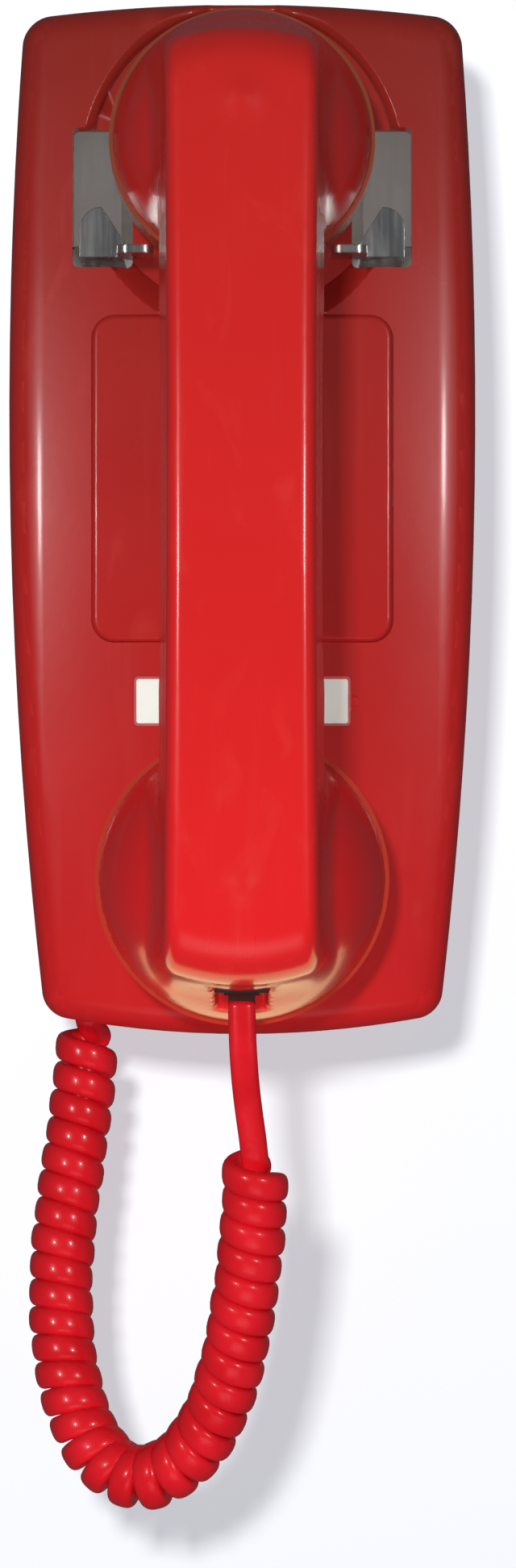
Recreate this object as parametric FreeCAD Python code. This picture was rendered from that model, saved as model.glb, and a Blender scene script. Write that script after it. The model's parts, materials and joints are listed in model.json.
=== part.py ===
"""Slimline wall telephone: housing on a steel base plate, handset hung on a
sprung hook, and a curly handset cord between two modular jacks.

Frame: +Z up, the front faces -Y, the wall lies on the +Y side. The origin is the
centre of the two keyholes, on the rear face of the base plate. Millimetres.
"""
import FreeCAD
import Part
import math
import os

from FreeCAD import Vector as V

# ---- driving dimensions -------------------------------------------------------
# housing
HALF_WIDTH = 51.9            # widest half width, at SIDE_Z
SIDE_Z = 25.0
SIDE_R = 1190.0              # the sides bow gently
TOP_Z = 114.5
TOP_R = 460.0
BOTTOM_Z = -114.7
BOTTOM_R = 230.0
CORNER_TOP_R = 7.2
CORNER_BOTTOM_R = 6.6
FRONT_Y = -46.0              # crest of the front
CROWN_R = 260.0              # front's curve from side to side
FACE_R = 1166.0              # front's curve from top to bottom
EDGE_R = 5.6
WALL = 2.6
WALL_Y = 6.0                 # the rim meets the wall here

# well that takes the receiver cap
WELL_Z = 79.8
WELL_R = 33.5
WELL_FLOOR_Y = -36.0
WELL_BEVEL_Y = -38.5         # a 45 degree bevel opens the well from here

# hook windows
WINDOW_X = (24.4, 37.6)
WINDOW_Z = (55.3, 86.5)

# blank dial plate and designation card
PLATE_HALF = 33.2
PLATE_Z = (-27.6, 44.5)
PLATE_PROUD = 1.4
PLATE_CROWN_R = 600.0
CARD_HALF = 24.0
CARD_Z = (-46.2, -35.2)

# base plate and wall mounting
PLATE_T = 1.6
STUD_SPACING = 101.6
KEY_R = 5.0
KEY_SLOT = 4.4
KEY_RISE = 7.6

# handset, in its own frame: z along the handle, y towards the wall
HANDSET_Y = -42.65           # midpoint of the two cap faces
HANDSET_Z = 0.95
HANG_TILT = 1.89             # the top leans towards the wall
CAP_SPAN = 160.8
CAP_TILT = 3.0
EAR_R = 29.2
MOUTH_R = 32.1
CAP_DEPTH = 12.0
HANDLE_W = 35.3              # at its inner face; the sides lean in towards the outer face
HANDLE_DRAFT = 6.5
HANDLE_BACK = -55.0          # crest of the handle's outer face
HANDLE_T = 20.0
HANDLE_TOP = 100.4
HANDLE_BOTTOM = -104.0
HANDLE_BOW_R = 900.0
THROAT_Z = 53.0              # the finger gap's half length
BLOCK_Z = 64.0               # the handle is full depth beyond this height
HANDSET_JACK_Y = -24.0
HANDSET_JACK_FACE = -105.6

# hook
HOOK_PIVOT = (-16.0, 50.0)   # y, z
HOOK_T = 1.8
HOOK_TOP_Z = 59.2

# cord
COIL_D = 14.4
LEAD_D = 4.6
PLUG_W = 7.6
PLUG_H = 6.5
BASE_JACK_X = -34.9
BASE_JACK_Y = -20.0
BASE_JACK_FACE = -107.4
LEAD_HANDSET = [(0.0, -70.2, -105.65), (0.1, -70.4, -112.0), (0.4, -70.3, -118.2),
                (0.9, -69.8, -124.4), (1.7, -69.0, -130.8), (2.6, -68.0, -137.0),
                (3.0, -67.0, -143.4)]
COIL = [(3.0, -67.0, -143.4), (2.3, -65.0, -157.0), (0.6, -62.2, -171.5), (-2.0, -58.6, -185.5),
        (-6.4, -54.0, -198.4), (-13.4, -49.0, -208.6), (-23.4, -44.0, -213.4),
        (-32.6, -39.0, -207.8), (-38.0, -34.4, -195.8), (-40.6, -30.6, -181.8),
        (-40.9, -27.6, -167.8), (-39.6, -25.2, -154.0), (-37.6, -23.0, -141.0),
        (-35.9, -21.2, -128.2), (-34.9, -20.0, -114.6)]
LEAD_BASE = [(-34.9, -20.0, -114.6), (-34.9, -20.0, -111.4)]

# base plate's screw tab, thumbwheel, bracket rivets
SCREW_X = 4.0
SCREW_Y = -10.0
SCREW_SEAT_Z = -113.1        # the screw's head is let into the case
TAB_Z = -108.6
WHEEL_X = 28.0
WHEEL_Y = -16.0
WHEEL_R = 10.5
WHEEL_Z = -102.8
RIVET_X = (-20, 20)
RIVET_R = 1.3

# circuit board
BOARD_Y = (-18.0, -16.4)
BOARD_Z = (-20.0, 26.0)
BOARD_HALF = 34.0
POST_XZ = [(x, z) for x in (-30.5, 30.5) for z in (-16.5, 22.5)]

# ringer
RING_Y = -17.0
PIVOT_Z = -44.5
GONG_X = 22.2
GONG_Z = -70.0
GONG_R = 17.0

# wires inside the case
WIRE_R = 0.9
JACK_WIRES = [(-34.9, -17.0, -93.8), (-35.6, -16.0, -87.5), (-38.6, -13.2, -79.5),
              (-41.0, -11.0, -69.0), (-41.2, -9.6, -56.0), (-38.8, -8.6, -42.0),
              (-33.0, -8.4, -31.0), (-27.4, -9.0, -22.5), (-25.4, -12.0, -15.0),
              (-25.2, -16.0, -12.6)]
RINGER_WIRES = [(18.4, -10.3, -30.0), (19.4, -9.4, -24.5), (21.0, -9.6, -19.0),
                (22.6, -12.0, -14.5), (23.0, -16.1, -13.0)]


# ---- helpers -------------------------------------------------------------------
def box(x0, x1, y0, y1, z0, z1):
    return Part.makeBox(x1 - x0, y1 - y0, z1 - z0, V(x0, y0, z0))


def cyl(r, start, axis, length):
    return Part.makeCylinder(r, length, V(*start), V(*axis))


def arc(a, b, c):
    return Part.Arc(V(*a), V(*b), V(*c)).toShape()


def line(a, b):
    return Part.LineSegment(V(*a), V(*b)).toShape()


def fuse(shapes):
    shapes = list(shapes)
    return shapes[0].fuse(shapes[1:]) if len(shapes) > 1 else shapes[0]


def mirrored_x(shape):
    return shape.mirror(V(0, 0, 0), V(1, 0, 0))


def rounded_prism(half_x, z0, z1, y0, y1, r):
    """A rounded rectangle in XZ, extruded along Y, centred on X = 0."""
    block = box(-half_x, half_x, y0, y1, z0, z1)
    edges = [e for e in block.Edges if abs(e.tangentAt(e.FirstParameter).y) > 0.9]
    return block.makeFillet(r, edges)


def revolved(profile):
    """Revolves a closed (radius, height) outline about the Y axis."""
    pts = [V(x, y, 0) for x, y in profile]
    face = Part.Face(Part.makePolygon(pts + [pts[0]]))
    return face.revolve(V(0, 0, 0), V(0, 1, 0), 360)


def save(name, shape):
    shape = shape.removeSplitter()
    if shape.ShapeType == "Compound" and len(shape.Solids) == 1:
        shape = shape.Solids[0]
    if not shape.isValid():
        print("INVALID", name)
    box_now = shape.BoundBox
    print(f"{name:26s} solids {len(shape.Solids)}  volume {shape.Volume / 1000:8.3f} cm3"
          f"  x {box_now.XMin:7.1f} {box_now.XMax:6.1f}"
          f"  y {box_now.YMin:7.1f} {box_now.YMax:6.1f}"
          f"  z {box_now.ZMin:7.1f} {box_now.ZMax:6.1f}")
    shape.exportStep(os.path.join("parts", name + ".step"))


# ---- housing ---------------------------------------------------------------------
def side_x(z, inset=0.0):
    return HALF_WIDTH - SIDE_R + math.sqrt((SIDE_R - inset) ** 2 - (z - SIDE_Z) ** 2)


def end_z(x, top, inset=0.0):
    r = (TOP_R if top else BOTTOM_R) - inset
    drop = r - math.sqrt(r * r - x * x)
    return TOP_Z - inset - drop if top else BOTTOM_Z + inset + drop


def outline_corner(top, inset):
    x = HALF_WIDTH
    for _ in range(8):
        z = end_z(x, top, inset)
        x = side_x(z, inset)
    return x, z


def outline_prism(inset, y0, y1, r_top, r_bottom):
    """The bowed outline seen from the front, shrunk by inset, extruded along Y."""
    xt, zt = outline_corner(True, inset)
    xb, zb = outline_corner(False, inset)
    right = side_x(SIDE_Z, inset)
    wire = Part.Wire([
        arc((-xt, y0, zt), (0, y0, TOP_Z - inset), (xt, y0, zt)),
        arc((xt, y0, zt), (right, y0, SIDE_Z), (xb, y0, zb)),
        arc((xb, y0, zb), (0, y0, BOTTOM_Z + inset), (-xb, y0, zb)),
        arc((-xb, y0, zb), (-right, y0, SIDE_Z), (-xt, y0, zt)),
    ])
    prism = Part.Face(wire).extrude(V(0, y1 - y0, 0))
    upright = [e for e in prism.Edges if len(e.Vertexes) == 2
               and abs(e.Vertexes[0].Y - e.Vertexes[1].Y) > 1]
    prism = prism.makeFillet(r_top, [e for e in upright if e.Vertexes[0].Z > 0])
    upright = [e for e in prism.Edges if e.Curve.TypeId == "Part::GeomLine"
               and abs(e.Vertexes[0].Y - e.Vertexes[1].Y) > 1
               and e.Vertexes[0].Z < -100 and abs(abs(e.Vertexes[0].X) - xb) < 0.01]
    return prism.makeFillet(r_bottom, upright)


def crowned(offset, crown_r=CROWN_R):
    """Everything behind the twice curved front surface, moved back by offset."""
    crest = FRONT_Y + offset
    half = 70.0
    sag = crown_r - math.sqrt(crown_r ** 2 - half ** 2)
    section = Part.Face(Part.Wire([
        arc((-half, crest + sag, 0), (0, crest, 0), (half, crest + sag, 0)),
        line((half, crest + sag, 0), (half, 40, 0)),
        line((half, 40, 0), (-half, 40, 0)),
        line((-half, 40, 0), (-half, crest + sag, 0)),
    ]))
    centre_y = FRONT_Y + FACE_R
    spread = 8.0
    section.rotate(V(0, centre_y, 0), V(1, 0, 0), -spread)
    return section.revolve(V(0, centre_y, 0), V(1, 0, 0), 2 * spread)


def front_y(z, x=0.0):
    """The front surface's y at a height and a distance from the middle."""
    sag_x = CROWN_R - math.sqrt(CROWN_R ** 2 - x * x)
    sag_z = FACE_R - math.sqrt(FACE_R ** 2 - z * z)
    return FRONT_Y + sag_x + sag_z


def housing_body(inset, r_edge, r_top, r_bottom, back_y):
    block = outline_prism(inset, -60, back_y, r_top, r_bottom).common(crowned(inset))
    front = [e for e in block.Edges if e.BoundBox.YMax < -20]
    return block.makeFillet(r_edge, front)


def well_space():
    """The room that the well leaves free, out past the front; its throat edge is rounded."""
    reach = 30.0
    floor = cyl(WELL_R, (0, WELL_BEVEL_Y, WELL_Z), (0, 1, 0), WELL_FLOOR_Y - WELL_BEVEL_Y)
    bevel = Part.makeCone(WELL_R, WELL_R + reach, reach,
                          V(0, WELL_BEVEL_Y, WELL_Z), V(0, -1, 0))
    space = floor.fuse(bevel)
    throat = [e for e in space.Edges if abs(e.BoundBox.Center.y - WELL_BEVEL_Y) < 0.01
              and e.BoundBox.YLength < 0.01]
    return space.makeFillet(1.6, throat)


def rounded_well_lip(shell):
    """Rounds the edge where the well's bevel meets the front."""
    def from_axis(e):
        point = e.valueAt((e.FirstParameter + e.LastParameter) / 2)
        return math.hypot(point.x, point.z - WELL_Z)
    lip = [e for e in shell.Edges if 35.5 < from_axis(e) < 46 and e.BoundBox.YMax < WELL_BEVEL_Y
           and e.BoundBox.DiagonalLength > 12 and e.Curve.TypeId != "Part::GeomLine"]
    return shell.makeFillet(1.0, lip)


def window_prism(side, y0, y1):
    block = box(*WINDOW_X, y0, y1, *WINDOW_Z)
    edges = [e for e in block.Edges if abs(e.tangentAt(e.FirstParameter).y) > 0.9]
    block = block.makeFillet(1.4, edges)
    return block if side > 0 else mirrored_x(block)


def housing_shell():
    outer = housing_body(0, EDGE_R, CORNER_TOP_R, CORNER_BOTTOM_R, WALL_Y)
    inner = housing_body(WALL, EDGE_R - WALL, CORNER_TOP_R - WALL, CORNER_BOTTOM_R - WALL,
                         WALL_Y + 5)
    shell = outer.cut(inner)
    # the well is a cup let into the front
    cup = cyl(WELL_R + WALL + 6, (0, -70, WELL_Z), (0, 1, 0), 70 + WELL_FLOOR_Y + WALL)
    shell = shell.fuse(outer.common(cup))
    shell = rounded_well_lip(shell.cut(well_space()))
    for side in (-1, 1):
        shell = shell.cut(window_prism(side, -60, -20))
    # seat of the blank plate, two slots for its clips, and the card's recess
    z0, z1 = PLATE_Z
    seat = rounded_prism(PLATE_HALF + 0.15, z0 - 0.15, z1 + 0.15, -60, 0, 5.15)
    shell = shell.cut(seat.cut(crowned(1.0)))
    for x in (-20, 20):
        shell = shell.cut(box(x - 4, x + 4, -60, -30, 7, 9.2))
    card = rounded_prism(CARD_HALF + 0.1, CARD_Z[0] - 0.1, CARD_Z[1] + 0.1, -60, 0, 1.1)
    shell = shell.cut(card.cut(crowned(1.6)))
    notch = rounded_prism(1.4, -41.9, -39.5, -60, 0, 0.8)
    notch.translate(V(CARD_HALF + 0.4, 0, 0))
    shell = shell.cut(notch.cut(crowned(1.6)))
    # underside: jack opening, thumbwheel slot, screw hole with its boss
    shell = shell.cut(box(BASE_JACK_X - 6.9, BASE_JACK_X + 6.9, BASE_JACK_Y - 6.2,
                          BASE_JACK_Y + 6.2, -120, -106))
    shell = shell.cut(box(WHEEL_X - 2.2, WHEEL_X + 2.2, WHEEL_Y - 11.5, WHEEL_Y + 11.5,
                          -120, -106))
    shell = shell.cut(cyl(1.9, (SCREW_X, SCREW_Y, -120), (0, 0, 1), 14))
    shell = shell.cut(cyl(3.8, (SCREW_X, SCREW_Y, -120), (0, 0, 1), 120 + SCREW_SEAT_Z))
    # two lugs on the top wall hook behind the base plate's top edge
    for x in (-30, 30):
        lug = box(x - 5, x + 5, -PLATE_T - 2.6, -PLATE_T - 0.2, 104.6, 111.4)
        shell = shell.fuse(lug.common(outer))
    return shell


def blank_dial_plate():
    z0, z1 = PLATE_Z
    slab = rounded_prism(PLATE_HALF, z0, z1, -60, 0, 5.0)
    slab = slab.common(crowned(-PLATE_PROUD, PLATE_CROWN_R))
    rim = [e for e in slab.Edges if e.BoundBox.YMax < FRONT_Y + 3]
    slab = slab.makeFillet(1.3, rim)
    slab = slab.cut(crowned(1.0))
    for x in (-20, 20):
        y_root = front_y(8, x) + 0.4
        leg = box(x - 3.6, x + 3.6, y_root, -38.6, 7.2, 8.6)
        barb = box(x - 3.6, x + 3.6, -40.2, -38.6, 7.2, 10.2)
        slab = slab.fuse([leg, barb])
    return slab


def designation_parts():
    z0, z1 = CARD_Z
    window = rounded_prism(CARD_HALF, z0, z1, -60, 0, 1.0)
    window = window.common(crowned(0.0)).cut(crowned(1.0))
    card = rounded_prism(CARD_HALF - 0.6, z0 + 0.6, z1 - 0.6, -60, 0, 0.6)
    card = card.common(crowned(1.05)).cut(crowned(1.55))
    return window, card


# ---- base plate and what it carries --------------------------------------------------
def keyhole(z):
    """Entry hole with a narrow slot rising from it; the stud seats in the slot."""
    hole = cyl(KEY_R, (0, -5, z), (0, 1, 0), 10)
    slot = box(-KEY_SLOT / 2, KEY_SLOT / 2, -5, 5, z, z + KEY_RISE)
    end = cyl(KEY_SLOT / 2, (0, -5, z + KEY_RISE), (0, 1, 0), 10)
    return fuse([hole, slot, end])


def base_plate():
    plate = outline_prism(WALL + 0.4, -PLATE_T, 0, CORNER_TOP_R - WALL, CORNER_BOTTOM_R - WALL)
    for z in (-STUD_SPACING / 2, STUD_SPACING / 2):
        plate = plate.cut(keyhole(z))
    # middle opening for the wall plug, and the bracket's two rivet holes
    plate = plate.cut(rounded_prism(13.5, -17, 17, -5, 5, 2))
    for x in RIVET_X:
        plate = plate.cut(cyl(RIVET_R, (x, -5, 0), (0, 1, 0), 10))
    # screw tab bent forward at the bottom
    tab = box(SCREW_X - 8, SCREW_X + 8, -18, -PLATE_T / 2, TAB_Z, TAB_Z + PLATE_T)
    plate = plate.fuse(tab)
    plate = plate.cut(cyl(1.5, (SCREW_X, SCREW_Y, TAB_Z - 3), (0, 0, 1), 8))
    # stiffening flanges along both sides
    for side in (-1, 1):
        x0, x1 = sorted((side * 42.0, side * 43.6))
        plate = plate.fuse(box(x0, x1, -9, -PLATE_T / 2, -30, 34))
    return plate


def housing_screw():
    head = cyl(3.4, (SCREW_X, SCREW_Y, SCREW_SEAT_Z - 1.55), (0, 0, 1), 1.5)
    shank = cyl(1.5, (SCREW_X, SCREW_Y, SCREW_SEAT_Z - 0.1), (0, 0, 1), 10.0)
    slot = box(SCREW_X - 4, SCREW_X + 4, SCREW_Y - 0.5, SCREW_Y + 0.5, -117, SCREW_SEAT_Z - 0.8)
    return head.fuse(shank).cut(slot)


def wall_plug_bracket():
    """Steel bridge behind the opening that lets the wall plug float."""
    web = box(-17, 17, -12.6, -11, -14, 14)
    legs = [box(x, x + 1.6, -12.6, -PLATE_T, -14, 14) for x in (-17, 15.4)]
    feet = [box(x, x + 6, -3.2, -PLATE_T, -14, 14) for x in (-23, 17)]
    bridge = fuse([web] + legs + feet)
    bridge = bridge.cut(box(-6.2, 6.2, -14, -10, -9.5, 13.8))
    for x in RIVET_X:
        bridge = bridge.cut(cyl(RIVET_R, (x, -5, 0), (0, 1, 0), 5))
    return bridge


def bracket_rivets():
    return Part.makeCompound([
        cyl(RIVET_R, (x, -3.2, 0), (0, 1, 0), 3.2).fuse(cyl(2.4, (x, -4.2, 0), (0, 1, 0), 1.0))
        for x in RIVET_X])


def wall_plug():
    """Modular plug that points at the wall; its collar rides on the bridge."""
    body = box(-4.9, 4.9, -9.0, 10.5, -3.4, 3.4)
    collar = box(-9.5, 9.5, -10.6, -8.8, -6.2, 6.2)
    neck = box(-5.4, 5.4, -14.2, -10.6, -5.0, 5.0)
    latch = box(-3.0, 3.0, 1.0, 9.6, -5.2, -4.2)
    latch_root = box(-3.0, 3.0, 8.6, 9.6, -5.2, -3.0)
    contacts = [box(x - 0.25, x + 0.25, 5.5, 10.6, 2.4, 3.5) for x in (-3, -1, 1, 3)]
    plug = fuse([body, collar, neck, latch, latch_root])
    for c in contacts:
        plug = plug.cut(c)
    return plug


def wall_plug_contacts():
    return Part.makeCompound([box(x - 0.25, x + 0.25, 5.5, 10.2, 2.4, 3.2)
                              for x in (-3, -1, 1, 3)])


# ---- hook ------------------------------------------------------------------------
def hook_fork():
    """One bent steel plate: cross bar, pivot ears, two arms with guards and fingers."""
    py, pz = HOOK_PIVOT
    top = HOOK_TOP_Z
    low = top - HOOK_T
    bar = box(-36, 36, -24, -22.2, 44, top)
    tail = box(-6, 6, -24, -22.2, 32, 45)
    pieces = [bar, tail]
    arms = []
    for side in (-1, 1):
        ear = box(34.2, 36, -24, py + 4, pz - 4.5, pz + 4.5)
        arm = box(26.2, 36, -43.4, -22.2, low, top)
        finger = box(19.5, 27.5, -52.0, -39.6, low, top)
        finger = finger.makeFillet(2.4, [e for e in finger.Edges if e.BoundBox.ZLength > 1
                                         and e.BoundBox.YMax < -51])
        guard = Part.Face(Part.Wire([
            line((25.4, -43.4, low), (36.0, -43.4, low)),
            line((36.0, -43.4, low), (36.0, -43.4, 63.4)),
            arc((36.0, -43.4, 63.4), (34.9, -43.4, 66.6), (32.2, -43.4, 68.4)),
            line((32.2, -43.4, 68.4), (31.0, -43.4, 68.4)),
            line((31.0, -43.4, 68.4), (25.4, -43.4, 59.8)),
            line((25.4, -43.4, 59.8), (25.4, -43.4, low)),
        ])).extrude(V(0, HOOK_T, 0))
        for piece in (ear, arm, finger, guard):
            arms.append(piece if side > 0 else mirrored_x(piece))
    fork = fuse(pieces + arms)
    return fork.cut(cyl(1.56, (-50, py, pz), (1, 0, 0), 100))


def hookswitch_frame():
    """Zinc plated bracket: carries the pivot pin and guides the plunger."""
    py, pz = HOOK_PIVOT
    base = box(-40.4, 40.4, -3.2, -PLATE_T, 30, 84)
    base = base.cut(box(-24, 24, -5, 0, 44, 90))
    frame = [base]
    for side in (-1, 1):
        ear = box(38.8, 40.4, -22, -PLATE_T, pz - 8, pz + 8)
        # backing plate seen through the window
        screen = box(27.0, 40.4, -27.6, -26.4, 61.5, 88)
        wing = box(38.8, 40.4, -27.6, -PLATE_T, 64, 84)
        for piece in (ear, screen, wing):
            frame.append(piece if side > 0 else mirrored_x(piece))
    guide = box(-11, 11, -14, -12.4, 29, 43)
    legs = [box(x, x + 1.6, -14, -PLATE_T, 29, 43) for x in (-11, 9.4)]
    frame = fuse(frame + [guide] + legs)
    frame = frame.cut(cyl(2.06, (0, -20, 36), (0, 1, 0), 10))
    return frame.cut(cyl(1.5, (-50, py, pz), (1, 0, 0), 100))


def hook_pivot_pin():
    py, pz = HOOK_PIVOT
    pin = cyl(1.5, (-41.6, py, pz), (1, 0, 0), 83.2)
    head = cyl(2.6, (-42.6, py, pz), (1, 0, 0), 1.4)
    return pin.fuse(head)


def hook_return_spring():
    """Torsion spring wound on the pivot pin, one leg on the bracket's base."""
    py, pz = HOOK_PIVOT
    wire_r, coil_r, pitch, length = 0.45, 3.2, 1.4, 8.4
    helix = Part.makeHelix(pitch, length, coil_r)
    ring = Part.Wire(Part.makeCircle(wire_r, V(coil_r, 0, 0), V(0, 1, 0)))
    coil = Part.Wire(helix.Edges).makePipeShell([ring], True, True)
    coil.rotate(V(0, 0, 0), V(0, 1, 0), 90)
    coil.translate(V(14, py, pz))
    return coil


def switch_plunger():
    stem = cyl(2.0, (0, -21.8, 36), (0, 1, 0), 13.6)
    button = cyl(3.2, (0, -21.8, 36), (0, 1, 0), 2.0)
    stem = stem.fuse(button)
    return stem.makeFillet(0.6, [e for e in stem.Edges if e.BoundBox.YMax < -21.7])


def contact_springs():
    return Part.makeCompound([box(x - 1.3, x + 1.3, -7.7 + n * 1.2, -7.4 + n * 1.2, 14, 40)
                              for x in (-6, 0, 6) for n in (0, 2)])


def contact_insulators():
    """Phenolic blocks that clamp the contact leaves."""
    block = box(-9, 9, -9.2, -PLATE_T, 16, 24)
    for x in (-6, 0, 6):
        for n in (0, 2):
            block = block.cut(box(x - 1.3, x + 1.3, -7.7 + n * 1.2, -7.4 + n * 1.2, 14, 40))
    return block


# ---- circuit board -----------------------------------------------------------------
def circuit_board():
    y0, y1 = BOARD_Y
    board = box(-BOARD_HALF, BOARD_HALF, y0, y1, *BOARD_Z)
    for x, z in POST_XZ:
        board = board.cut(cyl(1.6, (x, -30, z), (0, 1, 0), 20))
    return board


def board_posts():
    posts = []
    for x, z in POST_XZ:
        post = cyl(2.6, (x, BOARD_Y[1], z), (0, 1, 0), -PLATE_T - BOARD_Y[1])
        posts.append(post.cut(cyl(1.2, (x, BOARD_Y[1], z), (0, 1, 0), 8)))
    return Part.makeCompound(posts)


def board_screws():
    screws = []
    for x, z in POST_XZ:
        head = cyl(2.6, (x, BOARD_Y[0] - 1.8, z), (0, 1, 0), 1.8)
        head = head.cut(box(x - 3, x + 3, -25, BOARD_Y[0] - 1.0, z - 0.35, z + 0.35))
        shank = cyl(1.2, (x, BOARD_Y[0], z), (0, 1, 0), 8)
        screws.append(head.fuse(shank))
    return Part.makeCompound(screws)


def capacitors():
    cans = []
    for x, z, r, h in ((-22, 12, 6.0, 15), (-9, 14, 4.5, 12), (-22, -4, 5.0, 13)):
        can = cyl(r, (x, BOARD_Y[0] - h, z), (0, 1, 0), h)
        cans.append(can.makeFillet(0.8, [e for e in can.Edges
                                         if e.BoundBox.YMax < BOARD_Y[0] - h + 0.1]))
    return Part.makeCompound(cans)


def induction_core():
    """Laminated transformer core with two windows, on four feet."""
    y0 = BOARD_Y[0]
    core = box(6, 28, y0 - 15, y0 - 3, -8, 14)
    for x in (9.4, 20.4):
        core = core.cut(box(x, x + 4.2, y0 - 20, y0, -4.5, 10.5))
    feet = [box(x, x + 2, y0 - 3, y0, z, z + 2) for x in (6, 26) for z in (-8, 12)]
    return fuse([core] + feet)


def induction_winding():
    """Winding round the core's middle limb."""
    y0 = BOARD_Y[0]
    outer = box(9.6, 24.4, y0 - 17, y0 - 1, -4.3, 10.3)
    return outer.cut(box(13.6, 20.4, y0 - 15, y0 - 3, -5, 11))


# ---- ringer ------------------------------------------------------------------------
def ringer_frame():
    plate = box(-34, 34, -6.4, -5.0, -92, -24)
    feet = [box(x, x + 6, -5.0, -PLATE_T, z, z + 6) for x in (-34, 28) for z in (-92, -30)]
    frame = fuse([plate] + feet)
    pivot = cyl(1.5, (0, -21.5, PIVOT_Z), (0, 1, 0), 16)
    posts = [cyl(2.6, (x, -22.6, GONG_Z), (0, 1, 0), 17) for x in (-GONG_X, GONG_X)]
    yoke = [box(x, x + 3, RING_Y - 3, -5.2, -35, -27) for x in (-23, 20)]
    frame = fuse([frame, pivot] + posts + yoke)
    frame = frame.cut(cyl(2.4, (-40, RING_Y, -31), (1, 0, 0), 80))
    # window in the plate that clears the keyhole's stud
    return frame.cut(box(-8, 8, -8, -4, -60, -48))


def ringer_core():
    """Soft iron core with two pole legs that face the armature."""
    rod = cyl(2.4, (-24, RING_Y, -31), (1, 0, 0), 48)
    legs = [box(x, x + 3, RING_Y - 3, RING_Y + 3, -47.5, -28) for x in (-19.6, 16.6)]
    return fuse([rod] + legs)


def ringer_coil():
    drum = cyl(5.6, (-14.5, RING_Y, -31), (1, 0, 0), 29)
    flanges = [cyl(6.6, (x, RING_Y, -31), (1, 0, 0), 1.2) for x in (-15.7, 14.5)]
    return fuse([drum] + flanges).cut(cyl(2.4, (-30, RING_Y, -31), (1, 0, 0), 60))


def gong(side):
    """Thin steel dome, open towards the base plate."""
    profile = [(2.6, 12.0), (9.0, 11.6), (14.0, 9.4), (16.4, 6.0), (GONG_R, 0.0),
               (GONG_R - 1.2, 0.0), (15.2, 5.6), (13.2, 8.4), (8.6, 10.4), (2.6, 10.8)]
    dome = revolved([(r, -h) for r, h in profile])
    dome.translate(V(side * GONG_X, -12.0, GONG_Z))
    return dome


def gong_screws():
    screws = []
    for side in (-1, 1):
        x = side * GONG_X
        head = cyl(4.2, (x, -26.2, GONG_Z), (0, 1, 0), 2.2)
        head = head.cut(box(x - 5, x + 5, -27, -25.2, GONG_Z - 0.5, GONG_Z + 0.5))
        screws.append(head.fuse(cyl(2.6, (x, -24.0, GONG_Z), (0, 1, 0), 1.4)))
    return Part.makeCompound(screws)


def clapper_arm():
    hub = cyl(3.4, (0, RING_Y - 2.5, PIVOT_Z), (0, 1, 0), 5)
    bar = box(-15.4, 15.4, RING_Y - 2, RING_Y + 2, PIVOT_Z - 1.3, PIVOT_Z + 1.3)
    arm = cyl(0.9, (0, RING_Y, -67), (0, 0, 1), 22)
    return fuse([hub, bar, arm]).cut(cyl(1.56, (0, -30, PIVOT_Z), (0, 1, 0), 30))


def clapper_ball():
    return Part.makeSphere(3.2, V(0, RING_Y, GONG_Z)).cut(cyl(0.9, (0, RING_Y, -71), (0, 0, 1), 9))


# ---- volume wheel and base jack --------------------------------------------------------
def volume_wheel():
    """Thumbwheel with a grooved rim."""
    wheel = cyl(WHEEL_R, (WHEEL_X - 1.9, WHEEL_Y, WHEEL_Z), (1, 0, 0), 3.8)
    grooves = 28
    for n in range(grooves):
        a = 2 * math.pi * n / grooves
        wheel = wheel.cut(cyl(0.45, (WHEEL_X - 3, WHEEL_Y + WHEEL_R * math.cos(a),
                                     WHEEL_Z + WHEEL_R * math.sin(a)), (1, 0, 0), 6))
    return wheel.cut(cyl(1.56, (WHEEL_X - 5, WHEEL_Y, WHEEL_Z), (1, 0, 0), 10))


def volume_bracket():
    """Two ears on one foot, either side of the thumbwheel."""
    low = WHEEL_Z - 3.2
    ears = [box(WHEEL_X + x, WHEEL_X + x + 1.4, WHEEL_Y - 3.5, -PLATE_T, low, WHEEL_Z + 5.2)
            for x in (-3.8, 2.4)]
    foot = box(WHEEL_X - 3.8, WHEEL_X + 3.8, -2.8, -PLATE_T, low, -92.2)
    return fuse(ears + [foot]).cut(cyl(1.5, (WHEEL_X - 9, WHEEL_Y, WHEEL_Z), (1, 0, 0), 18))


def volume_pin():
    return cyl(1.5, (WHEEL_X - 4.2, WHEEL_Y, WHEEL_Z), (1, 0, 0), 8.4)


def jack_block(w, d, h, face_z):
    """A modular jack whose mouth looks down; centred on X = Y = 0."""
    block = box(-w / 2, w / 2, -d / 2, d / 2, face_z, face_z + h)
    mouth = box(-PLUG_W / 2 - 0.1, PLUG_W / 2 + 0.1, -PLUG_H / 2 - 0.1, PLUG_H / 2 + 0.1,
                face_z, face_z + h - 1.6)
    return block.cut(mouth)


def base_jack():
    jack = jack_block(13.4, 12.0, 13.2, BASE_JACK_FACE)
    jack.translate(V(BASE_JACK_X, BASE_JACK_Y, 0))
    foot = box(BASE_JACK_X - 4, BASE_JACK_X + 4, BASE_JACK_Y + 6, -PLATE_T, -106, -101)
    return jack.fuse(foot)


def plug(face_z, out, depth):
    """Cord plug pointing up: clear body in the jack, tapered nose on the cord."""
    body = box(-PLUG_W / 2, PLUG_W / 2, -PLUG_H / 2, PLUG_H / 2, face_z - out, face_z + depth)
    for x in (-1.6, 1.4):
        body = body.cut(box(x, x + 0.2, PLUG_H / 2 - 0.9, PLUG_H / 2, face_z - out,
                            face_z + depth - 3))
    nose = box(-2.9, 2.9, -2.1, 2.1, face_z - out - 1.2, face_z - out)
    return body.fuse(nose)


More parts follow.
